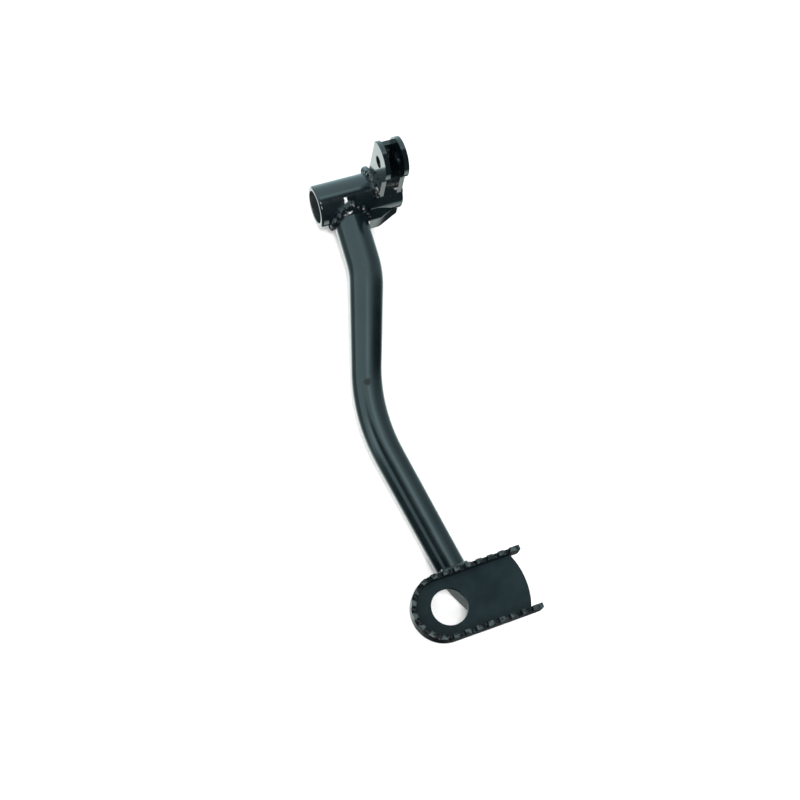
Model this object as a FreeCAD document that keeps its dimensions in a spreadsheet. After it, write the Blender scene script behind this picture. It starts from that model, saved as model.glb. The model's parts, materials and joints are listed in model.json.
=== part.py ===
import FreeCAD, Part
import math
import os

import Sketcher
from FreeCAD import Placement, Rotation, Vector

# Frame: origin at the middle of the pivot bore, +Y along the bore, +X toward the tread, +Z up.
# All lengths are in millimetres and all angles in degrees.
SIZES = {
    "tube_diameter": 22.0,
    "bore_diameter": 17.0,
    "tube_length": 45.0,
    "tube_chamfer": 0.8,
    "arm_offset": -6.0,
    "arm_drop": 1.9,
    "arm_sink": 0.45,
    "run_one_angle": -4.5,
    "run_one_length": 35.0,
    "bend_one_radius": 52.0,
    "run_two_angle": -19.9,
    "run_two_length": 46.6,
    "bend_two_radius": 98.0,
    "run_three_angle": 7.9,
    "run_three_length": 92.0,
    "arm_root_diameter": 17.6,
    "arm_waist_diameter": 15.3,
    "arm_tip_diameter": 14.0,
    "arm_miter": 28.0,
    "miter_back": 24.3,
    "miter_left": 10.0,
    "arm_seat": 1.5,
    "tread_back": 12.2,
    "tread_left": 16.3,
    "tread_cant": -1.5,
    "plate_thickness": 2.8,
    "tread_half_width": 13.2,
    "tread_straight": 38.8,
    "plate_end_radius": 34.0,
    "mud_hole_diameter": 17.4,
    "mud_hole_shift": 3.0,
    "rim_thickness": 2.4,
    "rim_overhang": 4.2,
    "rim_height": 6.4,
    "tooth_pitch": 5.6,
    "tooth_gap": 2.7,
    "tooth_depth": 2.3,
    "tooth_phase": 1.5,
    "lever_width": 12.6,
    "lever_sheet": 2.6,
    "pin_forward": 0.4,
    "pin_height": 30.3,
    "pin_diameter": 6.4,
    "ear_radius": 10.4,
    "lever_front": 8.0,
    "web_dip": 0.6,
    "lever_bend_radius": 3.0,
    "lug_reach": 14.6,
    "lug_left": 3.0,
    "lug_square": 9.0,
    "lug_inset": 2.0,
    "lug_top": 1.5,
    "lug_round": 4.5,
    "floor_drop": 11.0,
    "arm_bead_leg": 4.0,
    "arm_bead_start": 4.0,
    "arm_bead_length": 9.0,
    "lever_bead_leg": 3.2,
    "lever_bead_sweep": 110.0,
    "lever_bead_lean": 9.5,
    "edge_bead_leg": 1.1,
    "tread_bead_radius": 2.6,
    "left_tread_bead_length": 4.6,
    "right_tread_bead_length": 8.0,
    "tread_bead_gap": 2.2,
}
ROUND_GAPS = 8
STRAIGHT_GAPS = 7

# Fits that several pieces share, written over the sizes above.
TREAD_OUTER = "(sizes.tread_half_width + sizes.rim_thickness)"
RIM_STRAIGHT = "(sizes.tread_straight + sizes.rim_overhang)"
LEVER_RIGHT = "(sizes.tube_length / 2 - sizes.edge_bead_leg)"
LEVER_LEFT = "(sizes.tube_length / 2 - sizes.edge_bead_leg - sizes.lever_width)"

doc = FreeCAD.newDocument("brake_pedal")
sheet = doc.addObject("Spreadsheet::Sheet", "sizes")
for row, (name, number) in enumerate(SIZES.items(), start=1):
    sheet.set("A%d" % row, name)
    sheet.set("B%d" % row, str(number))
    sheet.setAlias("B%d" % row, name)
doc.recompute()


def value(text):
    """Number that an expression over the sheet gives now."""
    return float(sheet.evalExpression(text))


def new_body(name):
    """Empty body whose label is the name of its file."""
    body = doc.addObject("PartDesign::Body", name)
    body.Label = name
    return body


def sketch_on(body, role, name, offset="0"):
    """Sketch on one of the body's own planes, moved along the plane's normal."""
    sketch = body.newObject("Sketcher::SketchObject", name)
    plane = [feature for feature in body.Origin.OriginFeatures if feature.Role == role][0]
    sketch.AttachmentSupport = (plane, "")
    sketch.MapMode = "FlatFace"
    sketch.setExpression("AttachmentOffset.Base.z", offset)
    return sketch


def bind(sketch, constraint, text):
    """Adds a constraint and ties its number to an expression."""
    index = sketch.addConstraint(constraint)
    sketch.setExpression("Constraints[%d]" % index, text)


def pin_point(sketch, geometry, point, across, up):
    """Ties one point of the sketch to two distances from its origin."""
    bind(sketch, Sketcher.Constraint("DistanceX", -1, 1, geometry, point, value(across)), across)
    bind(sketch, Sketcher.Constraint("DistanceY", -1, 1, geometry, point, value(up)), up)


def circle(sketch, across, up, diameter):
    """Circle with its middle and diameter tied to expressions."""
    middle = Vector(value(across), value(up), 0)
    shape = Part.Circle(middle, Vector(0, 0, 1), value(diameter) / 2)
    index = sketch.addGeometry(shape, False)
    pin_point(sketch, index, 3, across, up)
    bind(sketch, Sketcher.Constraint("Diameter", index, value(diameter)), diameter)


def polygon(sketch, corners):
    """Closed outline of straight lines through corners given as expressions."""
    points = [Vector(value(across), value(up), 0) for across, up in corners]
    first = sketch.GeometryCount
    count = len(points)
    for number in range(count):
        following = points[(number + 1) % count]
        sketch.addGeometry(Part.LineSegment(points[number], following), False)
    for number in range(count):
        following = first + (number + 1) % count
        sketch.addConstraint(Sketcher.Constraint("Coincident", first + number, 2, following, 1))
    for number, (across, up) in enumerate(corners):
        pin_point(sketch, first + number, 1, across, up)


def rectangle(sketch, left, right, low, high):
    """Rectangle with each side tied to an expression."""
    polygon(sketch, [(left, low), (right, low), (right, high), (left, high)])


def pad(body, sketch, name, length, reverse=False):
    """Pad of a bound length."""
    feature = body.newObject("PartDesign::Pad", name)
    feature.Profile = sketch
    feature.setExpression("Length", length)
    feature.Reversed = reverse
    doc.recompute()
    return feature


def pocket(body, sketch, name, length=None, reverse=False, both=False):
    """Pocket of a bound depth, or through everything where no depth is given."""
    feature = body.newObject("PartDesign::Pocket", name)
    feature.Profile = sketch
    if length is None:
        feature.Type = "ThroughAll"
        feature.Midplane = both
    else:
        feature.setExpression("Length", length)
    feature.Reversed = reverse
    doc.recompute()
    return feature


def axis_of(body, role):
    """One of the body's own axes."""
    return [feature for feature in body.Origin.OriginFeatures if feature.Role == role][0]


def edges_where(feature, test):
    """Names of the feature's edges whose shape passes the test."""
    return ["Edge%d" % (number + 1) for number, edge in enumerate(feature.Shape.Edges) if test(edge)]


def move(thing, forward="0", side="0", height="0"):
    """Ties the place of an object to three expressions."""
    thing.setExpression("Placement.Base.x", forward)
    thing.setExpression("Placement.Base.y", side)
    thing.setExpression("Placement.Base.z", height)


def turn(thing, axis, angle):
    """Ties the turn of an object about one axis to an expression."""
    thing.Placement = Placement(thing.Placement.Base, Rotation(axis, 1.0))
    thing.setExpression("Placement.Rotation.Angle", angle)


def cut(name, base, tool):
    """Part cut of one object by another."""
    feature = doc.addObject("Part::Cut", name)
    feature.Base = base
    feature.Tool = tool
    feature.Label = name
    doc.recompute()
    return feature


def cut_all(name, base, tools):
    """Cuts an object by several others in turn and gives the last cut the name."""
    for number, tool in enumerate(tools):
        last = number == len(tools) - 1
        base = cut(name if last else "%s_step_%d" % (name, number), base, tool)
    return base


def rod(name, radius, length, axis, angle, place):
    """Cylinder of bound size, turned about one axis and placed."""
    feature = doc.addObject("Part::Cylinder", name)
    feature.setExpression("Radius", radius)
    feature.setExpression("Height", length)
    turn(feature, axis, angle)
    move(feature, *place)
    return feature


def block(name, length, width, height, place):
    """Box of bound size at a bound place."""
    feature = doc.addObject("Part::Box", name)
    feature.setExpression("Length", length)
    feature.setExpression("Width", width)
    feature.setExpression("Height", height)
    move(feature, *place)
    return feature


def arm_end():
    """Place of the end of the bending line, from its runs and bends, as three expressions."""
    one, two, three = ["sizes.run_%s_angle * 1 deg" % name for name in ("one", "two", "three")]
    along = "(%s)" % " + ".join([
        "sizes.run_one_length * cos(%s)" % one, "sizes.bend_one_radius * (sin(%s) - sin(%s))" % (one, two),
        "sizes.run_two_length * cos(%s)" % two, "sizes.bend_two_radius * (sin(%s) - sin(%s))" % (three, two),
        "sizes.run_three_length * cos(%s)" % three])
    side = "(%s)" % " + ".join([
        "sizes.arm_offset", "sizes.run_one_length * sin(%s)" % one,
        "sizes.bend_one_radius * (cos(%s) - cos(%s))" % (two, one), "sizes.run_two_length * sin(%s)" % two,
        "sizes.bend_two_radius * (cos(%s) - cos(%s))" % (two, three), "sizes.run_three_length * sin(%s)" % three])
    sink = "sizes.arm_sink * 1 deg"
    forward = "(%s * cos(%s))" % (along, sink)
    height = "(-sizes.arm_drop - %s * sin(%s))" % (along, sink)
    return forward, side, height


def tread_place():
    """Place of the middle of the tread's round end, set off from the end of the arm."""
    forward, side, height = arm_end()
    seat = "sizes.arm_tip_diameter / 2 - sizes.arm_seat + sizes.plate_thickness"
    return forward + " - sizes.tread_back", side + " - sizes.tread_left", height + " + " + seat


def on_tread(across, along, lift):
    """Place of a point given in the canted frame of the tread."""
    forward, side, height = tread_place()
    cant = "sizes.tread_cant * 1 deg"
    return ("%s + (%s)" % (forward, across),
            "%s + (%s) * cos(%s) + (%s) * sin(%s)" % (side, along, cant, lift, cant),
            "%s - (%s) * sin(%s) + (%s) * cos(%s)" % (height, along, cant, lift, cant))


def arm_under_tread(across):
    """Distance along the tread at which the arm's middle line passes, for a place across the tread."""
    return "sizes.tread_left - (sizes.tread_back - (%s)) * tan(sizes.run_three_angle * 1 deg)" % across


def build_tube():
    """Bored pivot tube with broken end edges."""
    body = new_body("pivot_tube")
    ring = sketch_on(body, "XZ_Plane", "tube_ring", "-sizes.tube_length / 2")
    circle(ring, "0", "0", "sizes.tube_diameter")
    circle(ring, "0", "0", "sizes.bore_diameter")
    wall = pad(body, ring, "tube_wall", "sizes.tube_length")
    edge = body.newObject("PartDesign::Chamfer", "tube_edges")
    outer = value("sizes.tube_diameter") / 2
    rims = edges_where(wall, lambda item: item.Closed and abs(item.Curve.Radius - outer) < 0.01)
    edge.Base = (wall, rims)
    edge.setExpression("Size", "sizes.tube_chamfer")
    doc.recompute()
    return body


def build_arm_path():
    """Bending line of the arm: three straight runs joined by two tangent bends."""
    path = doc.addObject("Sketcher::SketchObject", "arm_path")
    path.Placement = Placement(Vector(0, 0, -value("sizes.arm_drop")), Rotation(Vector(0, 1, 0), 1.0))
    path.setExpression("Placement.Base.z", "-sizes.arm_drop")
    path.setExpression("Placement.Rotation.Angle", "sizes.arm_sink")
    headings = ["run_one_angle", "run_two_angle", "run_three_angle"]
    lengths = ["run_one_length", "run_two_length", "run_three_length"]
    radii = ["bend_one_radius", "bend_two_radius"]
    here = Vector(0, value("sizes.arm_offset"), 0)
    pieces = []
    for number, heading in enumerate(headings):
        angle = math.radians(value("sizes." + heading))
        along = Vector(math.cos(angle), math.sin(angle), 0)
        there = here + along * value("sizes." + lengths[number])
        pieces.append(path.addGeometry(Part.LineSegment(here, there), False))
        here = there
        if number == 2:
            break
        onward = math.radians(value("sizes." + headings[number + 1]))
        side = 1 if onward > angle else -1
        radius = value("sizes." + radii[number])
        middle = here + Vector(-math.sin(angle), math.cos(angle), 0) * side * radius
        turned = (angle + onward) / 2
        halfway = middle + Vector(math.sin(turned), -math.cos(turned), 0) * side * radius
        there = middle + Vector(math.sin(onward), -math.cos(onward), 0) * side * radius
        pieces.append(path.addGeometry(Part.Arc(here, halfway, there), False))
        here = there
    pin_point(path, pieces[0], 1, "0", "sizes.arm_offset")
    for number in range(3):
        line = pieces[2 * number]
        bind(path, Sketcher.Constraint("Distance", line, value("sizes." + lengths[number])),
             "sizes." + lengths[number])
        bind(path, Sketcher.Constraint("Angle", line, math.radians(value("sizes." + headings[number]))),
             "sizes." + headings[number])
    for number in range(2):
        bend = pieces[2 * number + 1]
        bind(path, Sketcher.Constraint("Radius", bend, value("sizes." + radii[number])),
             "sizes." + radii[number])
        clockwise = value("sizes." + headings[number + 1]) < value("sizes." + headings[number])
        start, end = (2, 1) if clockwise else (1, 2)
        path.addConstraint(Sketcher.Constraint("Tangent", pieces[2 * number], 2, bend, start))
        path.addConstraint(Sketcher.Constraint("Tangent", bend, end, pieces[2 * number + 2], 1))
    doc.recompute()
    return path


def build_arm(path, tube_core, seat_block, miter_block):
    """Solid bar along the bending line: tapered runs joined by bends of one diameter each."""
    runs = [("run_one_length", "arm_root_diameter", "arm_root_diameter"),
            ("run_two_length", "arm_root_diameter", "arm_waist_diameter"),
            ("run_three_length", "arm_waist_diameter", "arm_tip_diameter")]
    bends = [("bend_one_radius", "arm_root_diameter"), ("bend_two_radius", "arm_waist_diameter")]
    edges = path.Shape.Edges
    normal = path.Placement.Rotation.multVec(Vector(0, 0, 1))
    lengths = []
    for number, (length, start, end) in enumerate(runs):
        edge = edges[2 * number]
        along = edge.tangentAt(edge.FirstParameter)
        if start == end:
            piece = doc.addObject("Part::Cylinder", "arm_run_%d" % number)
            piece.setExpression("Radius", "sizes.%s / 2" % start)
        else:
            piece = doc.addObject("Part::Cone", "arm_run_%d" % number)
            piece.setExpression("Radius1", "sizes.%s / 2" % start)
            piece.setExpression("Radius2", "sizes.%s / 2" % end)
        piece.setExpression("Height", "sizes." + length)
        piece.Placement = Placement(edge.valueAt(edge.FirstParameter), Rotation(Vector(0, 0, 1), along))
        lengths.append(piece)
    for number, (radius, diameter) in enumerate(bends):
        edge = edges[2 * number + 1]
        middle = edge.Curve.Center
        ends = [edge.valueAt(edge.FirstParameter), edge.valueAt(edge.LastParameter)]
        spoke = ends[0] - middle
        if spoke.cross(ends[1] - middle).dot(normal) < 0:
            spoke = ends[1] - middle
        piece = doc.addObject("Part::Torus", "arm_bend_%d" % number)
        piece.setExpression("Radius1", "sizes." + radius)
        piece.setExpression("Radius2", "sizes.%s / 2" % diameter)
        piece.Angle3 = math.degrees(edge.Length / edge.Curve.Radius)
        spoke.normalize()
        piece.Placement = Placement(middle, Rotation(spoke, normal.cross(spoke), normal, "ZXY"))
        lengths.append(piece)
    doc.recompute()
    bar = doc.addObject("Part::MultiFuse", "arm_bar_whole")
    bar.Shapes = lengths
    bar.Refine = True
    doc.recompute()
    return bar, cut_all("arm_bar", bar, [tube_core, seat_block, miter_block])


def seat_on_tread(thing):
    """Gives an object the canted frame of the tread."""
    turn(thing, Vector(1, 0, 0), "-sizes.tread_cant")
    move(thing, *tread_place())


def build_plate():
    """Foot plate: straight part with a convex end, round end and mud hole."""
    body = new_body("tread_plate")
    outline = sketch_on(body, "XY_Plane", "plate_outline")
    half = "sizes.tread_half_width"
    corners = [("-" + half, "sizes.tread_straight"), ("-" + half, "0"), (half, "0"), (half, "sizes.tread_straight")]
    points = [Vector(value(across), value(up), 0) for across, up in corners]
    for number in range(3):
        outline.addGeometry(Part.LineSegment(points[number], points[number + 1]), False)
    radius = value("sizes.plate_end_radius")
    sag = radius - math.sqrt(radius ** 2 - value(half) ** 2)
    crown = Vector(0, value("sizes.tread_straight") + sag, 0)
    outline.addGeometry(Part.Arc(points[3], crown, points[0]), False)
    outline.addConstraint(Sketcher.Constraint("Coincident", 0, 2, 1, 1))
    outline.addConstraint(Sketcher.Constraint("Coincident", 1, 2, 2, 1))
    outline.addConstraint(Sketcher.Constraint("Coincident", 2, 2, 3, 1))
    outline.addConstraint(Sketcher.Constraint("Coincident", 3, 2, 0, 1))
    for number in range(3):
        pin_point(outline, number, 1, *corners[number])
    pin_point(outline, 2, 2, *corners[3])
    bind(outline, Sketcher.Constraint("Radius", 3, radius), "sizes.plate_end_radius")
    pad(body, outline, "plate_straight", "sizes.plate_thickness", True)
    disc = sketch_on(body, "XY_Plane", "plate_disc")
    circle(disc, "0", "0", "2 * sizes.tread_half_width")
    pad(body, disc, "plate_round", "sizes.plate_thickness", True)
    hole = sketch_on(body, "XY_Plane", "mud_hole_outline")
    circle(hole, "0", "sizes.mud_hole_shift", "sizes.mud_hole_diameter")
    pocket(body, hole, "mud_hole")
    seat_on_tread(body)
    return body


def build_rim():
    """Strip bent to a U round the plate, with square gaps that leave the teeth."""
    body = new_body("tread_rim")
    outer = TREAD_OUTER
    whole = "sizes.plate_thickness + sizes.rim_height"
    base = "-sizes.plate_thickness"
    straight = sketch_on(body, "XY_Plane", "rim_straight_outline", base)
    rectangle(straight, "-" + outer, outer, "0", RIM_STRAIGHT)
    pad(body, straight, "rim_straight_block", whole)
    disc = sketch_on(body, "XY_Plane", "rim_disc_outline", base)
    circle(disc, "0", "0", "2 * " + outer)
    pad(body, disc, "rim_disc_block", whole)
    tray = sketch_on(body, "XY_Plane", "tray_outline", "sizes.rim_height")
    rectangle(tray, "-sizes.tread_half_width", "sizes.tread_half_width", "0", RIM_STRAIGHT + " + 5")
    pocket(body, tray, "tray_straight")
    bowl = sketch_on(body, "XY_Plane", "bowl_outline", "sizes.rim_height")
    circle(bowl, "0", "0", "2 * sizes.tread_half_width")
    pocket(body, bowl, "tray_round")
    gap = sketch_on(body, "XY_Plane", "gap_outline", "sizes.rim_height")
    low = "sizes.tooth_phase"
    rectangle(gap, "-%s - 1" % outer, outer + " + 1", low, low + " + sizes.tooth_gap")
    first = pocket(body, gap, "straight_gap", "sizes.tooth_depth")
    row = body.newObject("PartDesign::LinearPattern", "straight_gaps")
    row.Originals = [first]
    row.Direction = (axis_of(body, "Y_Axis"), [""])
    row.Occurrences = int(STRAIGHT_GAPS)
    row.setExpression("Length", "sizes.tooth_pitch * %d" % (STRAIGHT_GAPS - 1))
    body.Tip = row
    doc.recompute()
    notch = sketch_on(body, "XY_Plane", "round_gap_outline", "sizes.rim_height")
    step = 180.0 / ROUND_GAPS
    slant = "%g" % (180 + step / 2)
    corners = []
    for reach, side in ((outer + " + 1", 1), (outer + " + 1", -1), ("4", -1), ("4", 1)):
        half = "%d * sizes.tooth_gap / 2" % side
        across = "(%s) * cos(%s deg) - %s * sin(%s deg)" % (reach, slant, half, slant)
        up = "(%s) * sin(%s deg) + %s * cos(%s deg)" % (reach, slant, half, slant)
        corners.append((across, up))
    polygon(notch, corners)
    single = pocket(body, notch, "round_gap", "sizes.tooth_depth")
    ring = body.newObject("PartDesign::PolarPattern", "round_gaps")
    ring.Originals = [single]
    ring.Axis = (axis_of(body, "Z_Axis"), [""])
    ring.Angle = 180 - step
    ring.Occurrences = int(ROUND_GAPS)
    body.Tip = ring
    doc.recompute()
    seat_on_tread(body)
    return body


def lever_outline(sketch):
    """Side outline of the lever: straight back and front below a round ear."""
    back = "sizes.pin_forward - sizes.ear_radius"
    step = "sizes.lever_front - sizes.pin_forward"
    low = "sizes.pin_height - sqrt(sizes.ear_radius ^ 2 - (%s) ^ 2)" % step
    corners = [(back, "-1"), (back, "sizes.pin_height"), ("sizes.lever_front", low), ("sizes.lever_front", "-1")]
    points = [Vector(value(across), value(up), 0) for across, up in corners]
    first = sketch.GeometryCount
    crown = Vector(value("sizes.pin_forward"), value("sizes.pin_height + sizes.ear_radius"), 0)
    sketch.addGeometry(Part.LineSegment(points[0], points[1]), False)
    sketch.addGeometry(Part.LineSegment(points[2], points[3]), False)
    sketch.addGeometry(Part.LineSegment(points[3], points[0]), False)
    sketch.addGeometry(Part.Arc(points[2], crown, points[1]), False)
    sketch.addConstraint(Sketcher.Constraint("Coincident", first + 1, 2, first + 2, 1))
    sketch.addConstraint(Sketcher.Constraint("Coincident", first + 2, 2, first, 1))
    sketch.addConstraint(Sketcher.Constraint("Coincident", first + 3, 1, first + 1, 1))
    sketch.addConstraint(Sketcher.Constraint("Coincident", first + 3, 2, first, 2))
    pin_point(sketch, first, 1, *corners[0])
    pin_point(sketch, first, 2, *corners[1])
    pin_point(sketch, first + 1, 1, *corners[2])
    pin_point(sketch, first + 1, 2, *corners[3])
    bind(sketch, Sketcher.Constraint("Radius", first + 3, value("sizes.ear_radius")), "sizes.ear_radius")


def build_lever():
    """Stamped U channel with two pierced ears, saddle-cut to the pivot tube."""
    body = new_body("rod_lever")
    left = LEVER_LEFT
    right = LEVER_RIGHT
    inner_left = left + " + sizes.lever_sheet"
    inner_right = right + " - sizes.lever_sheet"
    back = "sizes.pin_forward - sizes.ear_radius"
    front = "sizes.pin_forward + sizes.ear_radius + 1"
    section = sketch_on(body, "XY_Plane", "channel_section", "-1")
    polygon(section, [(back, left), (front, left), (front, inner_left), (back + " + sizes.lever_sheet", inner_left),
                      (back + " + sizes.lever_sheet", inner_right), (front, inner_right), (front, right),
                      (back, right)])
    folded = pad(body, section, "channel_fold", "sizes.pin_height + sizes.ear_radius + 2")
    rear = value(back)

    def is_outer_corner(edge):
        box = edge.BoundBox
        return box.XLength < 0.01 and box.YLength < 0.01 and abs(box.XMin - rear) < 0.01

    def is_inner_corner(edge):
        box = edge.BoundBox
        return box.XLength < 0.01 and box.YLength < 0.01 and abs(box.XMin - rear - value("sizes.lever_sheet")) < 0.01

    bend = body.newObject("PartDesign::Fillet", "channel_bends")
    bend.Base = (folded, edges_where(folded, is_outer_corner))
    bend.setExpression("Radius", "sizes.lever_bend_radius")
    doc.recompute()
    throat = body.newObject("PartDesign::Fillet", "channel_throats")
    throat.Base = (bend, edges_where(bend, is_inner_corner))
    throat.setExpression("Radius", "sizes.lever_bend_radius - sizes.lever_sheet")
    doc.recompute()
    flank = sketch_on(body, "XZ_Plane", "lever_flank")
    rectangle(flank, "-60", "60", "-40", "90")
    lever_outline(flank)
    pocket(body, flank, "flank_trim", both=True)
    dip = sketch_on(body, "YZ_Plane", "dip_outline")
    rectangle(dip, inner_left, inner_right, "sizes.pin_height + sizes.web_dip", "sizes.pin_height + 30")
    pocket(body, dip, "web_top", both=True)
    pin = sketch_on(body, "XZ_Plane", "pin_outline")
    circle(pin, "sizes.pin_forward", "sizes.pin_height", "sizes.pin_diameter")
    pocket(body, pin, "pin_hole", both=True)
    saddle = sketch_on(body, "XZ_Plane", "saddle_outline")
    circle(saddle, "0", "0", "sizes.tube_diameter")
    pocket(body, saddle, "saddle", both=True)
    return body


def build_lug():
    """Rounded lug in the corner between tube and arm, before its neighbours are cut away."""
    body = doc.addObject("PartDesign::Body", "lug_blank")
    outline = sketch_on(body, "XY_Plane", "lug_outline", "-sizes.floor_drop")
    right = "sizes.tube_length / 2 - sizes.lug_inset"
    polygon(outline, [("0", "sizes.lug_left"), ("sizes.lug_reach", "sizes.lug_left"),
                      ("sizes.lug_reach", "sizes.lug_square"),
                      ("sizes.tube_diameter / 2 - 1.5", right), ("0", right)])
    solid = pad(body, outline, "lug_block", "sizes.floor_drop + sizes.lug_top")
    top = value("sizes.lug_top")

    def is_rounded(edge):
        box = edge.BoundBox
        return abs(box.ZMin - top) < 0.01 and box.ZLength < 0.01 and box.XMax > 9.0 and box.YLength > 2.0

    edge = body.newObject("PartDesign::Fillet", "lug_rounding")
    edge.Base = (solid, edges_where(solid, is_rounded))
    edge.setExpression("Radius", "sizes.lug_round")
    doc.recompute()
    return body


def build_lever_bead(name, near, far, height):
    """Fillet bead laid on the tube along one flank of the lever: a corner profile turned about the tube."""
    body = new_body(name)
    profile = sketch_on(body, "YZ_Plane", name + "_profile")
    skin = "sizes.tube_diameter / 2"
    crown = ("(%s) * 0.6 + (%s) * 0.4" % (near, far), skin + " + 0.62 * " + height)
    polygon(profile, [(near, skin), (far, skin), (far, skin + " + " + height), crown])
    bead = body.newObject("PartDesign::Revolution", name + "_turn")
    bead.Profile = profile
    bead.ReferenceAxis = (profile, ["H_Axis"])
    bead.setExpression("Angle", "sizes.lever_bead_sweep")
    bead.Midplane = True
    turn(body, Vector(0, 1, 0), "-sizes.lever_bead_lean")
    doc.recompute()
    return body


def build_arm_bead(bar, tube_core, floor):
    """Sloping collar of weld round the root of the arm."""
    collar = doc.addObject("Part::Cone", "arm_bead_blank")
    collar.setExpression("Radius1", "sizes.arm_root_diameter / 2 + sizes.arm_bead_leg")
    collar.setExpression("Radius2", "sizes.arm_root_diameter / 2 + 0.2")
    collar.setExpression("Height", "sizes.arm_bead_length")
    turn(collar, Vector(0, 1, 0), "90")
    lean = "sizes.arm_bead_start * tan(sizes.run_one_angle * 2 deg)"
    move(collar, "sizes.arm_bead_start", "sizes.arm_offset + " + lean, "-sizes.arm_drop")
    return cut_all("arm_bead", collar, [bar, tube_core, floor])


def build_seat_block():
    """Space that the tread fills above the flat cut on the end of the arm."""
    space = block("seat_block", "2 * %s + 30" % TREAD_OUTER, "100", "30", ("0", "0", "0"))
    turn(space, Vector(1, 0, 0), "-sizes.tread_cant")
    move(space, *on_tread("-" + TREAD_OUTER, "-20", "-sizes.plate_thickness"))
    return space


def build_miter_block():
    """Space beyond the slanting cut on the end of the arm."""
    space = block("miter_block", "100", "40", "60", ("0", "0", "0"))
    turn(space, Vector(0, 0, 1), "sizes.arm_miter")
    slant = "sizes.arm_miter * 1 deg"
    forward, side, height = arm_end()
    move(space, "%s - sizes.miter_back - 20 * cos(%s) + 40 * sin(%s)" % (forward, slant, slant),
         "%s - sizes.miter_left - 20 * sin(%s) - 40 * cos(%s)" % (side, slant, slant), "-30")
    return space


def build_tread_beads(bar, seat):
    """Beads that hold the tread: one across the arm before the rim, one along each side below the plate."""
    radius = "sizes.tread_bead_radius"
    under = "-sizes.plate_thickness"
    front = "-" + TREAD_OUTER
    width = "(sizes.arm_tip_diameter - 1)"
    across = rod("rim_bead_blank", radius, width, Vector(1, 0, 0), "-90 - sizes.tread_cant",
                 on_tread(front, "%s - %s / 2" % (arm_under_tread(front), width), under))
    beads = [cut_all("rim_bead", across, [bar, seat])]
    chord = "sqrt(sizes.arm_seat * (sizes.arm_tip_diameter - sizes.arm_seat))"
    for side, sign in (("left", "-"), ("right", "+")):
        name = side + "_tread_bead"
        length = "sizes.%s_length" % name
        begin = "%s + sizes.tread_bead_gap" % front
        along = "%s %s %s" % (arm_under_tread("%s + %s / 2" % (begin, length)), sign, chord)
        blank = rod(name + "_blank", radius, length, Vector(0, 1, 0), "90", on_tread(begin, along, under))
        beads.append(cut_all(name, blank, [bar, seat, beads[0]]))
    return beads


def finish(pieces):
    """Checks every object and writes one file for each piece."""
    doc.recompute()
    faults = [item.Name for item in doc.Objects if "Invalid" in item.State or "Error" in item.State]
    for piece in pieces:
        if piece.Shape.isNull() or not piece.Shape.isValid() or len(piece.Shape.Solids) != 1:
            faults.append("%s with %d solids" % (piece.Label, len(piece.Shape.Solids)))
    if faults:
        raise SystemExit("not sound: " + ", ".join(faults))
    os.makedirs("parts", exist_ok=True)
    for piece in pieces:
        piece.Shape.exportStep("parts/%s.step" % piece.Label)
        box = piece.Shape.BoundBox
        print("%-16s %9.1f mm3  x %.1f %.1f  y %.1f %.1f  z %.1f %.1f" % (
            piece.Label, piece.Shape.Volume, box.XMin, box.XMax, box.YMin, box.YMax, box.ZMin, box.ZMax))


tube = build_tube()
tube_core = rod("tube_core", "sizes.tube_diameter / 2", "200", Vector(1, 0, 0), "-90", ("0", "-100", "0"))
floor_block = block("floor_block", "400", "200", "30", ("-60", "-100", "-sizes.floor_drop - 30"))
arm_path = build_arm_path()
seat_block = build_seat_block()
arm_whole, arm = build_arm(arm_path, tube_core, seat_block, build_miter_block())
plate = build_plate()
rim = build_rim()
lever = build_lever()
arm_bead = build_arm_bead(arm_whole, tube_core, floor_block)
lug = cut_all("heel_lug", build_lug(), [tube_core, arm_whole, arm_bead])
left_bead = build_lever_bead("left_lever_bead", LEVER_LEFT + " - sizes.lever_bead_leg", LEVER_LEFT,
                             "sizes.lever_bead_leg")
right_bead = build_lever_bead("right_lever_bead", LEVER_RIGHT + " + sizes.edge_bead_leg", LEVER_RIGHT,
                              "2 * sizes.edge_bead_leg")
tread_beads = build_tread_beads(arm, seat_block)
finish([tube, arm, lever, lug, plate, rim, arm_bead, left_bead, right_bead] + tread_beads)
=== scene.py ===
"""Looks of a welded, black-painted brake pedal, built around its packed CAD frame."""

import json
import logging
import math
import random
from dataclasses import dataclass, field
from enum import Enum
from typing import Any, Sequence, Union

import bpy
from mathutils import Matrix, Vector

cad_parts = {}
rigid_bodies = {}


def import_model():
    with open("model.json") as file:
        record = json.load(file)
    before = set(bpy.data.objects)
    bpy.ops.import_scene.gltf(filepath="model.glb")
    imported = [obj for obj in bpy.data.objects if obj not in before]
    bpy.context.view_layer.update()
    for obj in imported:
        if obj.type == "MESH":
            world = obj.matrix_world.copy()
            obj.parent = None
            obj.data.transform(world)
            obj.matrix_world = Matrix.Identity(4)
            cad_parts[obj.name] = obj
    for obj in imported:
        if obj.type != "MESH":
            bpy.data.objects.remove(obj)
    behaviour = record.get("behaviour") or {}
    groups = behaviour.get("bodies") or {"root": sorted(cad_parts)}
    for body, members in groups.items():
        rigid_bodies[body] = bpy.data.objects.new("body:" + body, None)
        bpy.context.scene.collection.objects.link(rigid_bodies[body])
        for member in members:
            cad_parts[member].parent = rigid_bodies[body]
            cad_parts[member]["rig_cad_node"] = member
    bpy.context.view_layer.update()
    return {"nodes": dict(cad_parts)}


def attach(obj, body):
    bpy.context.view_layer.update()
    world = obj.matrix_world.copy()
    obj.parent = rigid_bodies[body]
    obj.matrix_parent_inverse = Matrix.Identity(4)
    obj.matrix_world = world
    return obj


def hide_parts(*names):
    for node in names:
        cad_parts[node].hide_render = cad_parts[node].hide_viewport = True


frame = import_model()

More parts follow.
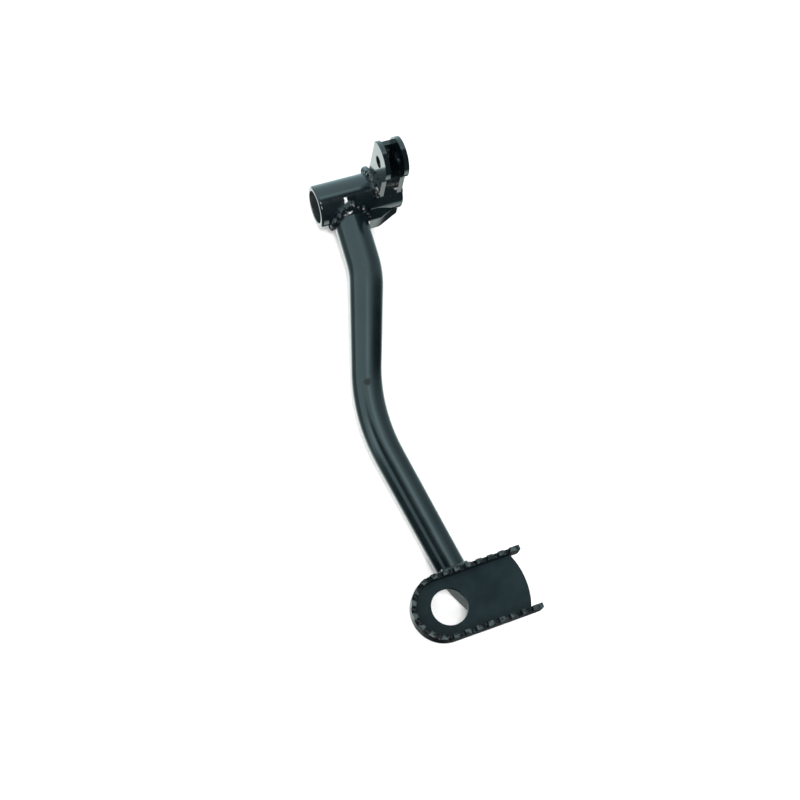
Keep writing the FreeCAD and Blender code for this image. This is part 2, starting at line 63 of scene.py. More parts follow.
log = logging.getLogger("brake_pedal")
MM = 0.001
UPWARD = (0.0, 0.0, 1.0)
WHITE = (1.0, 1.0, 1.0, 1.0)
# Places of the colour sockets on a Mix node.
MIX_FACTOR, MIX_FIRST, MIX_SECOND, MIX_RESULT = 0, 6, 7, 2

Number = Union[float, int]
Triple = tuple[float, float, float]
Span = tuple[float, float]
Paints = dict[str, bpy.types.Material]


class Slot(Enum):
    """Material slots of the packed record."""

    GLOSS = "gloss_paint"
    TREAD = "tread_paint"
    WELD = "weld_paint"


class Wire:
    """A shader socket that takes part in Python arithmetic."""

    def __init__(self, bench: "Bench", socket: bpy.types.NodeSocket) -> None:
        """Keeps the bench that owns the socket, and the socket."""
        self.bench = bench
        self.socket = socket

    def __add__(self, other: Union["Wire", Number]) -> "Wire":
        """Sum of two values."""
        return self.bench.maths("ADD", self, other)

    def __sub__(self, other: Union["Wire", Number]) -> "Wire":
        """Difference of two values."""
        return self.bench.maths("SUBTRACT", self, other)

    def __mul__(self, other: Union["Wire", Number]) -> "Wire":
        """Product of two values."""
        return self.bench.maths("MULTIPLY", self, other)

    def __rsub__(self, other: Number) -> "Wire":
        """Number minus this value."""
        return self.bench.maths("SUBTRACT", other, self)

    __radd__ = __add__
    __rmul__ = __mul__


class Bench:
    """The node tree of a material or a world, with short ways to add nodes to it."""

    def __init__(self, owner: Union[bpy.types.Material, bpy.types.World]) -> None:
        """Empties the owner's tree and takes it over.

        Args:
            owner: The material or world.
        """
        owner.use_nodes = True
        self.tree = owner.node_tree
        self.tree.nodes.clear()

    def node(self, kind: str, settings: dict[str, Any] | None = None, **inputs: Any) -> bpy.types.Node:
        """Adds a node, sets it up and feeds its sockets.

        Args:
            kind: Blender's name of the node type.
            settings: Properties that are set before the sockets.
            inputs: Socket names, with _ for a space, and a value or a Wire for each.

        Returns:
            The new node.
        """
        made = self.tree.nodes.new(kind)
        for name, value in (settings or {}).items():
            setattr(made, name, value)
        for name, value in inputs.items():
            self.feed(made.inputs[name.replace("_", " ")], value)
        return made

    def feed(self, socket: bpy.types.NodeSocket, value: Any) -> None:
        """Links a Wire to a socket, or sets the socket's own value.

        Args:
            socket: The socket that is fed.
            value: A Wire, or a plain value.
        """
        if isinstance(value, Wire):
            self.tree.links.new(value.socket, socket)
        else:
            socket.default_value = value

    def wire(self, node: bpy.types.Node, output: Union[str, int] = 0) -> Wire:
        """Wraps one output of a node, the first one where none is named."""
        return Wire(self, node.outputs[output])

    def maths(self, operation: str, first: Union[Wire, Number], second: Union[Wire, Number] = 0.0) -> Wire:
        """Adds a Math node.

        Args:
            operation: The Math node's operation.
            first: Left value.
            second: Right value.

        Returns:
            The result.
        """
        made = self.node("ShaderNodeMath", {"operation": operation})
        self.feed(made.inputs[0], first)
        self.feed(made.inputs[1], second)
        return self.wire(made)

    def ramp(self, value: Wire, low: float, high: float) -> Wire:
        """Smooth step of a value from 0 at low to 1 at high."""
        made = self.node("ShaderNodeMapRange", {"interpolation_type": "SMOOTHSTEP"},
                         Value=value, From_Min=low, From_Max=high)
        return self.wire(made)

    def blend(self, factor: Wire, first: Any, second: Any) -> Wire:
        """Mixes two colours.

        Args:
            factor: 0 for the first colour, 1 for the second.
            first: A colour, or a Wire that carries one.
            second: Likewise.

        Returns:
            The mixed colour.
        """
        made = self.node("ShaderNodeMix", {"data_type": "RGBA"})
        for index, value in ((MIX_FACTOR, factor), (MIX_FIRST, first), (MIX_SECOND, second)):
            self.feed(made.inputs[index], value)
        return self.wire(made, MIX_RESULT)

    def noise(self, place: Wire, scale: float, detail: float = 2.0, roughness: float = 0.5) -> Wire:
        """Noise texture's grey value."""
        return self.wire(self.node("ShaderNodeTexNoise", Vector=place, Scale=scale, Detail=detail,
                                   Roughness=roughness), "Fac")

    def compare(self, operation: str, first: Wire, second: Triple) -> Wire:
        """Adds a Vector Math node that makes one number of two vectors.

        Args:
            operation: The node's operation, such as DISTANCE.
            first: A vector that changes over the surface.
            second: A fixed vector.

        Returns:
            The number.
        """
        made = self.node("ShaderNodeVectorMath", {"operation": operation})
        self.feed(made.inputs[0], first)
        self.feed(made.inputs[1], second)
        return self.wire(made, "Value")

    def facing(self, direction: Wire, toward: Triple) -> Wire:
        """Cosine between a direction and a fixed one."""
        return self.compare("DOT_PRODUCT", direction, tuple(Vector(toward).normalized()))

    def mix_shaders(self, factor: Wire, first: Wire, second: Wire) -> Wire:
        """Mixes two shaders.

        Args:
            factor: 0 for the first shader, 1 for the second.
            first: The first shader.
            second: The second shader.

        Returns:
            The mixed shader.
        """
        made = self.node("ShaderNodeMixShader", Fac=factor)
        self.feed(made.inputs[1], first)
        self.feed(made.inputs[2], second)
        return self.wire(made)


@dataclass(frozen=True)
class Patches:
    """Soft-edged patches, cut from noise between two of its levels."""

    scale: float
    low: float
    high: float
    detail: float = 2.0
    roughness: float = 0.5

    def mask(self, bench: Bench, place: Wire) -> Wire:
        """Share of the patches at a place, from 0 to 1."""
        return bench.ramp(bench.noise(place, self.scale, self.detail, self.roughness), self.low, self.high)


DUST = Patches(scale=55.0, low=0.34, high=0.68, detail=6.0, roughness=0.62)
HAIRLINES = Patches(scale=1.0, low=0.735, high=0.775)
HANDLED = Patches(scale=38.0, low=0.52, high=0.66)
# Patches that break up the painted highlight on the tops of the rim's teeth.
LIT_TOP_PATCHES = Patches(scale=420.0, low=0.36, high=0.62, detail=3.0)
FLOOR_CLOUDS = Patches(scale=9.0, low=0.3, high=0.7, detail=5.0)


@dataclass(frozen=True)
class PaintFinish:
    """Black paint over steel: colour, gloss, orange peel, a dust film (on the rim a painted highlight on the
    tooth tops instead) and fine scratches.
    """

    name: str
    slot: Slot
    colour: Triple
    film_and_sheen_colour: Triple
    film_and_sheen_share: float
    roughness: float
    roughness_spread: float
    coat: float
    coat_roughness: float
    peel_scale: float
    peel_depth: float
    grain_scale: float
    grain_depth: float
    scratch_share: float
    specular: float = 0.5
    scratch_paleness: float = 5.0
    scratch_roughness: float = 0.25
    scratch_turn: Triple = (0.3, 0.2, 0.9)
    scratch_stretch: Triple = (90.0, 1500.0, 1500.0)
    matt_roughness: float = 0.5

    def make(self) -> bpy.types.Material:
        """Builds the material.

        Returns:
            The new material.
        """
        material = bpy.data.materials.new(self.name)
        bench = Bench(material)
        place = bench.wire(bench.node("ShaderNodeTexCoord"), "Object")
        # Dust film on most pieces; on the rim this share is a painted highlight on the tooth tops, with painted
        # shade in the gaps.
        film_and_sheen = self._film_and_sheen(bench, place)
        scratch = self._scratches(bench, place)
        matt = self._matt(bench, place)
        pale = tuple(self.scratch_paleness * part for part in self.film_and_sheen_colour)
        colour = bench.blend(film_and_sheen * self.film_and_sheen_share, (*self.colour, 1.0), (*self.film_and_sheen_colour, 1.0))
        colour = bench.blend(scratch, colour, (*pale, 1.0))
        rough = film_and_sheen * self.roughness_spread + (self.roughness - 0.5 * self.roughness_spread)
        rough = rough + scratch * self.scratch_roughness + matt * self.matt_roughness
        shader = bench.node("ShaderNodeBsdfPrincipled", Base_Color=colour, Roughness=rough,
                            Specular_IOR_Level=self.specular, Coat_Weight=(1.0 - matt) * self._coat(film_and_sheen),
                            Coat_Roughness=self.coat_roughness, Normal=self._surface(bench, place))
        bench.node("ShaderNodeOutputMaterial", Surface=bench.wire(shader))
        return material

    def _coat(self, film_and_sheen: Wire) -> Union[Wire, float]:
        """Share of clear gloss over the paint."""
        return self.coat

    def _matt(self, bench: Bench, place: Wire) -> Union[Wire, float]:
        """Share of the gloss that is scuffed away, none on most pieces."""
        return 0.0

    def _film_and_sheen(self, bench: Bench, place: Wire) -> Wire:
        """Patchy film of dust and polish, from 0 to 1."""
        return DUST.mask(bench, place)

    def _scratches(self, bench: Bench, place: Wire) -> Wire:
        """Draws sparse short hairline scratches.

        Args:
            bench: The material's bench.
            place: Place on the piece.

        Returns:
            Share of scratch, from 0 to 1.
        """
        turned = bench.node("ShaderNodeMapping", Vector=place, Rotation=self.scratch_turn,
                            Scale=self.scratch_stretch)
        thin = HAIRLINES.mask(bench, bench.wire(turned))
        return thin * HANDLED.mask(bench, place) * self.scratch_share

    def _surface(self, bench: Bench, place: Wire) -> Wire:
        """Relief of the paint as a bumped normal."""
        height = self._relief(bench, place)
        return bench.wire(bench.node("ShaderNodeBump", Height=height, Strength=1.0, Distance=1.0))

    def _relief(self, bench: Bench, place: Wire) -> Wire:
        """Height of the orange peel and of the finer grain on it, in metres."""
        peel = bench.noise(place, self.peel_scale) * self.peel_depth
        return peel + bench.noise(place, self.grain_scale, 3.0) * self.grain_depth


@dataclass(frozen=True)
class DrawnPaint(PaintFinish):
    """Paint over the drawn bar of the arm: faint flats along its far run, and a scuff on its second bend."""

    flat_depth: float = 0.18 * MM
    flat_length: float = 90.0 * MM
    flat_width: float = 3.4 * MM
    run_angle: float = 7.9
    run_start: float = 0.112
    run_rise: float = 0.025
    scuff_place: Triple = (0.1015, -0.0312, 0.0049)
    scuff_radius: float = 2.6 * MM
    scuff_grain: float = 700.0
    scuff_raggedness: float = 0.6
    scuff_fade: Span = (0.8, 1.25)

    def _relief(self, bench: Bench, place: Wire) -> Wire:
        """Adds the flats of the bar to the orange peel, beyond the second bend.

        Args:
            bench: The material's bench.
            place: Place on the arm.

        Returns:
            Height in metres.
        """
        along = bench.node("ShaderNodeMapping", {"vector_type": "TEXTURE"}, Vector=place,
                           Rotation=(0.0, 0.0, math.radians(self.run_angle)),
                           Scale=(self.flat_length, self.flat_width, self.flat_width))
        reach = bench.wire(bench.node("ShaderNodeSeparateXYZ", Vector=place), "X")
        share = bench.ramp(reach, self.run_start, self.run_start + self.run_rise)
        flats = bench.noise(bench.wire(along), 1.0, 0.0) * share * self.flat_depth
        return super()._relief(bench, place) + flats

    def _matt(self, bench: Bench, place: Wire) -> Union[Wire, float]:
        """Draws a ragged scuff on top of the second bend.

        Args:
            bench: The material's bench.
            place: Place on the arm.

        Returns:
            Share of the gloss that is gone, from 0 to 1.
        """
        away = bench.compare("DISTANCE", place, self.scuff_place)
        ragged = away + bench.noise(place, self.scuff_grain) * (self.scuff_raggedness * self.scuff_radius)
        inner, outer = self.scuff_fade
        return 1.0 - bench.ramp(ragged, inner * self.scuff_radius, outer * self.scuff_radius)


@dataclass(frozen=True)
class ShadedRimPaint(PaintFinish):
    """Paint of the toothed rim, with a painted highlight on the tops of the teeth and painted shade in the gaps
    between them.
    """

    lit_top_height: float = 9.9 * MM
    lit_top_rise: float = 0.7 * MM
    lit_top_slope: Span = (0.4, 0.85)
    tread_slope: float = 0.0262
    tread_side: float = -36.1 * MM

    def _coat(self, film_and_sheen: Wire) -> Union[Wire, float]:
        """Clear gloss on the tops of the teeth only, where the painted highlight lies, and none in the painted
        shade of the gaps.
        """
        return film_and_sheen * self.coat

    def _film_and_sheen(self, bench: Bench, place: Wire) -> Wire:
        """Finds the faces near the tops of the teeth that look upward, which are painted paler as a painted
        highlight.

        Args:
            bench: The material's bench.
            place: Place on the rim.

        Returns:
            Share of the painted highlight, from 0 in the gaps, which keep the dark base colour as painted shade,
            to 1 on the teeth.
        """
        parts = bench.node("ShaderNodeSeparateXYZ", Vector=place)
        level = bench.wire(parts, "Y") - self.tread_side
        height = bench.wire(parts, "Z") - level * self.tread_slope
        normal = bench.wire(bench.node("ShaderNodeTexCoord"), "Normal")
        upward = bench.ramp(bench.facing(normal, UPWARD), *self.lit_top_slope)
        reached = bench.ramp(height, self.lit_top_height, self.lit_top_height + self.lit_top_rise)
        # Painted highlight on upward faces near the tooth tops, in patches; the gaps stay dark as painted shade.
        return reached * upward * LIT_TOP_PATCHES.mask(bench, place)


GLOSS_PAINT = PaintFinish(
    name="gloss_black_paint", slot=Slot.GLOSS, colour=(0.002, 0.0048, 0.0062),
    film_and_sheen_colour=(0.005, 0.010, 0.012), film_and_sheen_share=0.6, roughness=0.16, roughness_spread=0.08, coat=0.9,
    coat_roughness=0.09, peel_scale=330.0, peel_depth=0.000025, grain_scale=2600.0, grain_depth=0.000003,
    scratch_share=0.8)
ARM_PAINT = DrawnPaint(**(vars(GLOSS_PAINT) | {"name": "gloss_arm_paint"}))
TREAD_PAINT = PaintFinish(
    name="satin_tread_paint", slot=Slot.TREAD, colour=(0.004, 0.010, 0.0125),
    film_and_sheen_colour=(0.010, 0.020, 0.023), film_and_sheen_share=0.8, roughness=0.42, roughness_spread=0.16, coat=0.0,
    coat_roughness=0.3, peel_scale=700.0, peel_depth=0.00003, grain_scale=3200.0, grain_depth=0.000006,
    scratch_share=1.0, specular=0.06)
# Rim paint: its paler film colour is a painted highlight on the tooth tops, and its very dark base colour in the
# gaps is painted shade.
RIM_PAINT = ShadedRimPaint(
    name="shaded_rim_paint", slot=Slot.TREAD, colour=(0.002, 0.004, 0.005),
    film_and_sheen_colour=(0.022, 0.032, 0.035), film_and_sheen_share=0.9, roughness=0.30, roughness_spread=0.10, coat=1.0,
    coat_roughness=0.08, peel_scale=640.0, peel_depth=0.00026, grain_scale=2000.0, grain_depth=0.00002,
    scratch_share=0.4, specular=0.14)
# Bore paint: a paler, rougher grey than the outside of the tube, with no clear coat.
BORE_PAINT = PaintFinish(
    name="pale_bore_paint", slot=Slot.GLOSS, colour=(0.014, 0.019, 0.020),
    film_and_sheen_colour=(0.06, 0.066, 0.066), film_and_sheen_share=0.7, roughness=0.34, roughness_spread=0.14, coat=0.0,
    coat_roughness=0.2, peel_scale=500.0, peel_depth=0.00004, grain_scale=2400.0, grain_depth=0.00001,
    scratch_share=0.6)
WELD_PAINT = PaintFinish(
    name="gloss_weld_paint", slot=Slot.WELD, colour=(0.002, 0.004, 0.006),
    film_and_sheen_colour=(0.006, 0.010, 0.012), film_and_sheen_share=0.4, roughness=0.10, roughness_spread=0.06, coat=0.6,
    coat_roughness=0.06, peel_scale=620.0, peel_depth=0.00022, grain_scale=1700.0, grain_depth=0.00004,
    scratch_share=0.0)


def pick_only(piece: bpy.types.Object) -> None:
    """Deselects everything, then selects one object and makes it active.

    Args:
        piece: The object.
    """
    bpy.ops.object.select_all(action="DESELECT")
    piece.select_set(True)
    bpy.context.view_layer.objects.active = piece


def apply_modifier(piece: bpy.types.Object, kind: str, **settings: Any) -> None:
    """Adds a modifier to a piece, sets it up and applies it.

    Args:
        piece: The object.
        kind: Blender's name of the modifier type.
        settings: Properties of the modifier.
    """
    pick_only(piece)
    modifier = piece.modifiers.new(kind.lower(), kind)
    for name, value in settings.items():
        setattr(modifier, name, value)
    bpy.ops.object.modifier_apply(modifier=modifier.name)


def hand_over(piece: bpy.types.Object, material: bpy.types.Material, node: str) -> None:
    """Paints a finished piece and puts it in the place of its CAD node.

    Args:
        piece: The finished object.
        material: The finish's material.
        node: The CAD node that the piece stands for.
    """
    piece.data.materials.clear()
    piece.data.materials.append(material)
    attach(piece, "root")
    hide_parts(node)
    log.info("%s stands for %s with %d faces", piece.name, node, len(piece.data.polygons))


def copy_node(node: str, name: str) -> bpy.types.Object:
    """Copies a CAD node and merges its loose triangles into closed steel.

    Args:
        node: The CAD node.
        name: Name of the copy.

    Returns:
        The copy, selected and active.
    """
    pick_only(frame["nodes"][node])
    bpy.ops.object.duplicate()
    piece = bpy.context.active_object
    piece.name = name
    del piece["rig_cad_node"]
    bpy.ops.mesh.customdata_custom_splitnormals_clear()
    bpy.ops.object.mode_set(mode="EDIT")
    bpy.ops.mesh.select_all(action="SELECT")
    bpy.ops.mesh.remove_doubles(threshold=0.002 * MM)
    bpy.ops.object.mode_set(mode="OBJECT")
    return piece


@dataclass
class SteelPiece:
    """A rigid steel piece: the CAD node's own form with its edges rounded under the paint."""

    node: str
    finish: PaintFinish
    edge_radius: float
    edge_angle: float = 32.0
    smooth_angle: float = 40.0

    def build(self, material: bpy.types.Material) -> bpy.types.Object:
        """Copies the node, rounds its edges and paints it.

        Args:
            material: Paint for the piece.

        Returns:
            The dressed piece.
        """
        piece = copy_node(self.node, "painted_" + self.node)
        bpy.ops.object.shade_smooth_by_angle(angle=math.radians(self.smooth_angle))
        if self.edge_radius:
            apply_modifier(piece, "BEVEL", width=self.edge_radius, segments=3, limit_method="ANGLE",
                           angle_limit=math.radians(self.edge_angle), harden_normals=True)
        hand_over(piece, material, self.node)
        return piece


@dataclass
class PivotTube:
    """The pivot tube, whose bore is painted a paler grey than its outside."""

    bore_radius: float = 8.5 * MM
    bore_slack: float = 0.02 * MM
    edge_radius: float = 0.4 * MM

    def build(self, paints: Paints) -> None:
        """Makes the tube and paints its outside and its bore."""
        tube = SteelPiece("pivot_tube", GLOSS_PAINT, self.edge_radius).build(paints[GLOSS_PAINT.name])
        self.dress(tube, paints[BORE_PAINT.name])

    def dress(self, tube: bpy.types.Object, material: bpy.types.Material) -> None:
        """Gives the faces of the bore their own paint.

        Args:
            tube: The dressed tube.
            material: Paint of the bore.
        """
        tube.data.materials.append(material)
        bore_paint = len(tube.data.materials) - 1
        for face in tube.data.polygons:
            if math.hypot(face.center.x, face.center.z) < self.bore_radius + self.bore_slack:
                face.material_index = bore_paint


@dataclass
class BentArm:
    """The bent, tapering arm between the tube and the tread."""

    edge_radius: float = 0.4 * MM

    def build(self, paints: Paints) -> None:
        """Makes and paints the arm."""
        SteelPiece("arm_bar", ARM_PAINT, self.edge_radius).build(paints[ARM_PAINT.name])


@dataclass
class RodLever:
    """The folded lever that takes the brake rod, and the lug beside it below."""

    lever_edge: float = 0.35 * MM
    lug_edge: float = 0.8 * MM

    def build(self, paints: Paints) -> None:
        """Makes and paints the lever and the lug."""
        for node, edge in (("rod_lever", self.lever_edge), ("heel_lug", self.lug_edge)):
            SteelPiece(node, GLOSS_PAINT, edge).build(paints[GLOSS_PAINT.name])


@dataclass
class FootTread:
    """The tread: a pierced plate, left with its cut edges, inside a bent strip with teeth."""

    plate_edge: float = 0.0
    rim_edge: float = 0.25 * MM

    def build(self, paints: Paints) -> None:
        """Makes and paints the plate and the rim."""
        SteelPiece("tread_plate", TREAD_PAINT, self.plate_edge).build(paints[TREAD_PAINT.name])
        SteelPiece("tread_rim", RIM_PAINT, self.rim_edge).build(paints[RIM_PAINT.name])


@dataclass
class WeldBead:
    """A run of hand-laid weld: the CAD bead with ripples along a path melted into it."""

    node: str
    path: Sequence[Vector]
    radius: float
    pitch: float
    stray: float
    seed: int
    finish: PaintFinish = WELD_PAINT
    flatness: float = 0.75
    growth: Span = (0.75, 1.15)
    widening: Span = (0.85, 1.1)
    grain: float = 0.3 * MM

    def build(self, material: bpy.types.Material) -> bpy.types.Object:
        """Lays the ripples, melts them into the bead and paints it.

        Args:
            material: Paint for the bead.

        Returns:
            The finished bead.
        """
        ripples = self._lay_ripples(random.Random(self.seed))
        bead = copy_node(self.node, "laid_" + self.node)
        for item in ripples:
            item.select_set(True)
        bpy.ops.object.join()
        apply_modifier(bead, "REMESH", mode="VOXEL", voxel_size=self.grain)
        apply_modifier(bead, "SMOOTH", factor=0.5, iterations=3)
        bpy.ops.object.shade_smooth()
        hand_over(bead, material, self.node)
        return bead

    def _lay_ripples(self, chance: random.Random) -> list[bpy.types.Object]:
        """Copies one ball along the path, each copy strayed, turned and sized by chance.

        Args:
            chance: The run's own source of chance.

        Returns:
            The ripples.
        """
        bpy.ops.object.select_all(action="DESELECT")
        bpy.ops.mesh.primitive_uv_sphere_add(segments=20, ring_count=12, radius=self.radius)
        ripple = bpy.context.active_object
        ripples = [ripple]
        for number, (point, along) in enumerate(self._stations()):
            if number:
                ripple = ripple.copy()
                ripple.data = ripple.data.copy()
                bpy.context.scene.collection.objects.link(ripple)
                ripples.append(ripple)
            shift = Vector([chance.uniform(-1.0, 1.0) for _ in range(3)]) * self.stray
            grow = chance.uniform(*self.growth)
            turn = along.to_track_quat("Z", "Y").to_matrix().to_4x4()
            size = Matrix.Diagonal((grow, grow * chance.uniform(*self.widening), self.flatness * grow, 1.0))
            ripple.matrix_world = Matrix.Translation(point + shift) @ turn @ size
        return ripples

    def _stations(self) -> list[tuple[Vector, Vector]]:
        """Divides the path into steps of one pitch.

        Returns:
            Each place, with the path's direction there.
        """
        stations = []
        left = 0.0
        for start, end in zip(self.path, self.path[1:]):
            step = end - start
            along = step.normalized()
            while left <= step.length:
                stations.append((start + along * left, along))
                left += self.pitch
            left -= step.length
        return stations


@dataclass
class Welds:
    """All the weld runs of the pedal, laid along the joints between the steel pieces.

    An arc over the tube is measured in degrees from the top toward the arm.
    """

    tube_radius: float = 11.0 * MM
    arm_radius: float = 8.8 * MM
    arm_side: float = -6.7 * MM
    arm_drop: float = 1.95 * MM
    toe: float = 1.0 * MM
    above_floor: float = 2.9 * MM
    nearest: float = 6.0 * MM
    round_step: float = 5.0
    lever_arc: Span = (-62.0, 43.0)
    lever_steps: int = 24
    arm_tip_radius: float = 7.1 * MM
    arm_at_tread: Vector = field(default_factory=lambda: Vector((202.5, -23.7, -3.5)) * MM)
    rim_gap: float = 0.6 * MM
    rim_lift: float = 0.2 * MM
    rim_first: float = -62.0
    rim_step: float = 6.2
    rim_steps: int = 20
    under_plate: float = 1.95 * MM
    under_start: float = 205.6 * MM
    under_side: float = -23.0 * MM
    under_spread: float = 5.3 * MM
    under_sink: float = 0.9 * MM
    under_drift: float = 0.6 * MM
    left_length: float = 3.0 * MM
    right_length: float = 6.0 * MM

    def build(self, paints: Paints) -> None:
        """Lays and paints every run.

        Args:
            paints: All the pedal's paints.
        """
        for bead in (
            WeldBead("arm_bead", self._round_arm(), radius=2.0 * MM, pitch=1.5 * MM, stray=0.55 * MM, seed=3),
            WeldBead("left_lever_bead", self._on_tube(side=7.7 * MM, lift=1.1 * MM),
                     radius=1.6 * MM, pitch=1.3 * MM, stray=0.4 * MM, seed=5),
            WeldBead("right_lever_bead", self._on_tube(side=21.8 * MM, lift=0.3 * MM),
                     radius=0.75 * MM, pitch=0.9 * MM, stray=0.1 * MM, seed=8),
            WeldBead("rim_bead", self._before_rim(), radius=1.5 * MM, pitch=1.2 * MM, stray=0.35 * MM, seed=13),
            WeldBead("left_tread_bead", self._under_tread(-self.under_spread, self.left_length),
                     radius=1.3 * MM, pitch=1.2 * MM, stray=0.15 * MM, seed=21),
            WeldBead("right_tread_bead", self._under_tread(self.under_spread, self.right_length),
                     radius=1.3 * MM, pitch=1.2 * MM, stray=0.15 * MM, seed=34),
        ):
            bead.build(paints[WELD_PAINT.name])

    def _round_arm(self) -> list[Vector]:
        """Draws a closed line in the corner where the arm meets the tube, held clear of the floor.

        Returns:
            Points of the line.
        """
        points = []
        for step in range(round(360.0 / self.round_step) + 1):
            angle = math.radians(self.round_step * step)
            side = self.arm_side + (self.arm_radius + self.toe) * math.cos(angle)
            height = (self.arm_radius + self.toe) * math.sin(angle) - self.arm_drop
            height = max(height, self.above_floor - self.tube_radius)
            reach = math.sqrt(max(0.0, self.tube_radius ** 2 - height ** 2))
            points.append(Vector((max(reach + self.toe, self.nearest), side, height)))
        return points

    def _on_tube(self, side: float, lift: float) -> list[Vector]:
        """Draws an arc over the tube, beside one ear of the lever.

        Args:
            side: Place along the tube.
            lift: Height over the tube's skin.

        Returns:
            Points of the arc.
        """
        points = []
        first, last = self.lever_arc
        for step in range(self.lever_steps + 1):
            angle = math.radians(first + (last - first) * step / self.lever_steps)
            reach = self.tube_radius + lift
            points.append(Vector((reach * math.sin(angle), side, reach * math.cos(angle))))
        return points

    def _before_rim(self) -> list[Vector]:
        """Draws a line over the top of the arm, in the corner before the tread's rim.

        Returns:
            Points of the line.
        """
        points = []
        for step in range(self.rim_steps + 1):
            angle = math.radians(self.rim_first + self.rim_step * step)
            reach = self.arm_tip_radius + self.rim_lift
            offset = Vector((-self.rim_gap, reach * math.sin(angle), reach * math.cos(angle)))
            points.append(self.arm_at_tread + offset)
        return points

    def _under_tread(self, spread: float, length: float) -> list[Vector]:
        """Ends of a short line along one side of the arm, below the plate."""
        start = Vector((self.under_start, self.under_side + spread, self.under_plate - self.under_sink))
        return [start, start + Vector((length, self.under_drift, 0.0))]


@dataclass(frozen=True)
class SoftLamp:
    """A square soft lamp, which gloss mirrors unless it is told not to."""

    name: str
    place: Triple
    size: float
    watts: float
    mirrored: bool = True

    def hang(self, target: Triple) -> None:
        """Adds the lamp and points it.

        Args:
            target: The point that it lights.
        """
        data = bpy.data.lights.new(self.name, "AREA")
        data.size = self.size
        data.energy = self.watts
        lamp = bpy.data.objects.new(self.name, data)
        bpy.context.scene.collection.objects.link(lamp)
        turn = (Vector(target) - Vector(self.place)).to_track_quat("-Z", "Y").to_matrix().to_4x4()
        lamp.matrix_world = Matrix.Translation(Vector(self.place)) @ turn
        lamp.visible_glossy = self.mirrored


@dataclass(frozen=True)
class RoomPart:
    """A part of the room around one direction, faded in between two cosines."""

    toward: Triple
    edge: float
    full: float
    level: float = 1.0

    def share(self, bench: Bench, direction: Wire) -> Wire:
        """The part's level along a direction."""
        return bench.ramp(bench.facing(direction, self.toward), self.edge, self.full) * self.level


SOFT_BOX = SoftLamp("overhead_soft_box", (0.15, -0.2, 1.4), size=1.6, watts=9.0, mirrored=False)
SIDE_LAMP = SoftLamp("side_lamp", (0.85, -0.5, 0.95), size=0.26, watts=5.5)
SMALL_LAMP = SoftLamp("small_lamp", (0.33, -0.075, 1.25), size=0.26, watts=6.0)

BRIGHT_SIDE = RoomPart((-1.0, 0.0, 0.0), edge=0.03, full=0.22, level=1.02)
BRIGHT_STRIP = RoomPart((-0.12, -0.88, 0.45), edge=0.955, full=0.985, level=0.7)
BRIGHT_CROWN = RoomPart((-0.17, 0.09, 0.98), edge=0.965, full=0.99, level=0.65)
BRIGHT_BENCH = RoomPart((-0.35, -0.35, -0.87), edge=0.8, full=0.95, level=0.42)
BRIGHT_PATCH = RoomPart((0.59, 0.3, -0.75), edge=0.92, full=0.985, level=1.1)
DARK_GAP = RoomPart((-0.1, -0.6, 0.8), edge=0.93, full=0.99, level=0.9)
DARK_SIDE = RoomPart((-0.2, 1.0, 0.1), edge=0.4, full=0.9, level=0.65)
DARK_CORNER = RoomPart((-0.5, -0.75, -0.42), edge=0.85, full=0.97, level=0.75)
LOWER_HALF = RoomPart((0.0, 0.0, -1.0), edge=0.35, full=0.85)


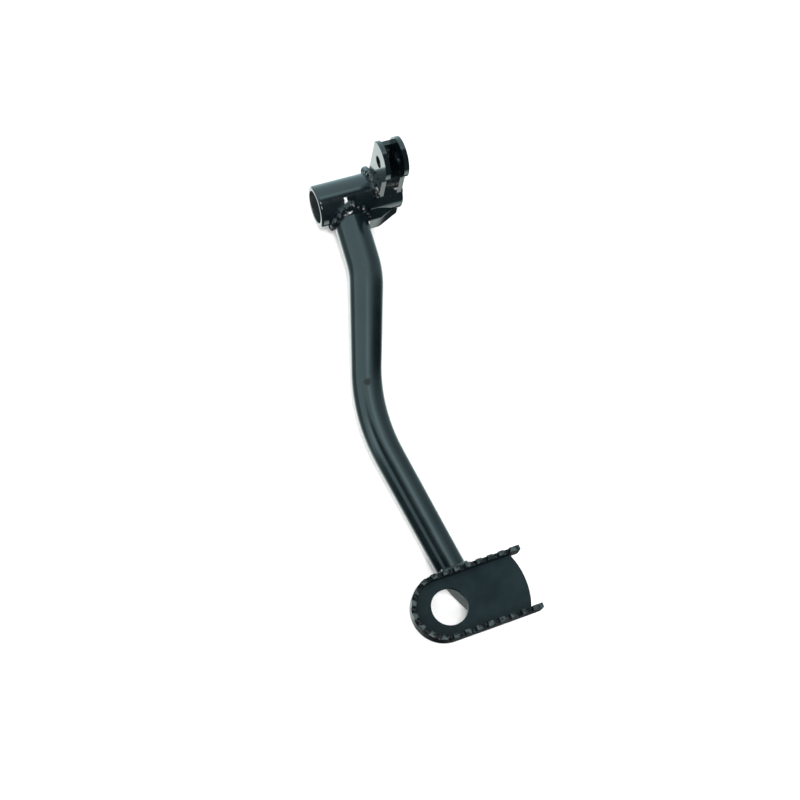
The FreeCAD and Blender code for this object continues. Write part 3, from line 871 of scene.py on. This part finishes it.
@dataclass
class Studio:
    """Pale floor, soft lamps, the room around them and the camera."""

    eye: Vector = field(default_factory=lambda: Vector((308.174, -172.161, 587.535)) * MM)
    ahead: Vector = field(default_factory=lambda: Vector((-0.30478, 0.24173, -0.92123)))
    right: Vector = field(default_factory=lambda: Vector((0.34899, 0.92833, 0.12813)))
    focal_pixels: float = 1300.0
    frame_pixels: float = 800.0
    sensor: float = 36.0
    clip_start: float = 0.01
    middle: Triple = (0.1, -0.02, 0.0)
    floor_size: float = 8.0
    floor_place: Triple = (0.1, 0.0, -11.3 * MM)
    floor_grey: float = 0.93
    floor_pale: float = 0.96
    floor_fade: Span = (0.5, 1.2)
    room_tint: Triple = (0.66, 0.95, 1.0)
    floor_tint: Triple = (0.88, 1.0, 0.97)
    gloom: float = 0.025
    ambient: float = 0.95

    def build(self) -> None:
        """Sets up the camera, the floor, the lamps and the room."""
        bpy.context.scene.view_settings.view_transform = "Standard"
        self._camera()
        self._floor()
        for lamp in (SOFT_BOX, SIDE_LAMP, SMALL_LAMP):
            lamp.hang(self.middle)
        self._room()

    def _camera(self) -> None:
        """Puts the camera at the photograph's viewpoint."""
        data = bpy.data.cameras.new("camera")
        data.sensor_width = self.sensor
        data.lens = self.focal_pixels * self.sensor / self.frame_pixels
        data.clip_start = self.clip_start
        camera = bpy.data.objects.new("camera", data)
        bpy.context.scene.collection.objects.link(camera)
        back = -self.ahead.normalized()
        up = back.cross(self.right).normalized()
        turn = Matrix((up.cross(back), up, back)).transposed().to_4x4()
        camera.matrix_world = Matrix.Translation(self.eye) @ turn
        bpy.context.scene.camera = camera

    def _floor(self) -> None:
        """Adds a large pale floor just below the part, hidden from gloss and plain white far away."""
        bpy.ops.object.select_all(action="DESELECT")
        bpy.ops.mesh.primitive_plane_add(size=self.floor_size, location=self.floor_place)
        floor = bpy.context.active_object
        floor.name = "floor"
        material = bpy.data.materials.new("pale_floor")
        bench = Bench(material)
        place = bench.wire(bench.node("ShaderNodeTexCoord"), "Object")
        grey, pale = ((level, level, level, 1.0) for level in (self.floor_grey, self.floor_pale))
        colour = bench.blend(FLOOR_CLOUDS.mask(bench, place), grey, pale)
        shader = bench.node("ShaderNodeBsdfPrincipled", Base_Color=colour, Roughness=0.65)
        white = bench.node("ShaderNodeEmission", Color=WHITE, Strength=1.0)
        away = bench.compare("DISTANCE", place, (0.0, 0.0, 0.0))
        seen = bench.wire(bench.node("ShaderNodeLightPath"), "Is Camera Ray")
        far = bench.ramp(away, *self.floor_fade) * seen
        surface = bench.mix_shaders(far, bench.wire(shader), bench.wire(white))
        bench.node("ShaderNodeOutputMaterial", Surface=surface)
        floor.data.materials.append(material)
        floor.visible_glossy = False

    def _room(self) -> None:
        """Adds a room that is white to the camera, even to the floor, and bright and dark by sides to gloss."""
        world = bpy.data.worlds.new("room")
        bpy.context.scene.world = world
        bench = Bench(world)
        toward = bench.wire(bench.node("ShaderNodeTexCoord"), "Generated")
        level = BRIGHT_SIDE.share(bench, toward) * (1.0 - DARK_GAP.share(bench, toward))
        for bright in (BRIGHT_STRIP, BRIGHT_CROWN, BRIGHT_BENCH, BRIGHT_PATCH):
            level = level + bright.share(bench, toward)
        level = level + self.gloom
        for dark in (DARK_SIDE, DARK_CORNER):
            level = level * (1.0 - dark.share(bench, toward))
        lower = LOWER_HALF.share(bench, toward)
        tint = bench.blend(lower, (*self.room_tint, 1.0), (*self.floor_tint, 1.0))
        mirrored = bench.node("ShaderNodeBackground", Color=tint, Strength=level)
        even = bench.node("ShaderNodeBackground", Color=WHITE, Strength=self.ambient)
        white = bench.node("ShaderNodeBackground", Color=WHITE, Strength=1.0)
        light = bench.node("ShaderNodeLightPath")
        seen = bench.wire(even)
        for ray, other in (("Is Glossy Ray", mirrored), ("Is Transmission Ray", white), ("Is Camera Ray", white)):
            seen = bench.mix_shaders(bench.wire(light, ray), seen, bench.wire(other))
        bench.node("ShaderNodeOutputWorld", Surface=seen)


def main() -> None:
    """Builds every piece in order."""
    logging.basicConfig(level=logging.INFO)
    finishes = (GLOSS_PAINT, ARM_PAINT, BORE_PAINT, TREAD_PAINT, RIM_PAINT, WELD_PAINT)
    paints = {finish.name: finish.make() for finish in finishes}
    for assembly in (PivotTube(), BentArm(), RodLever(), FootTread(), Welds()):
        assembly.build(paints)
        log.info("%s is done", type(assembly).__name__)
    Studio().build()


if __name__ == "__main__":
    main()
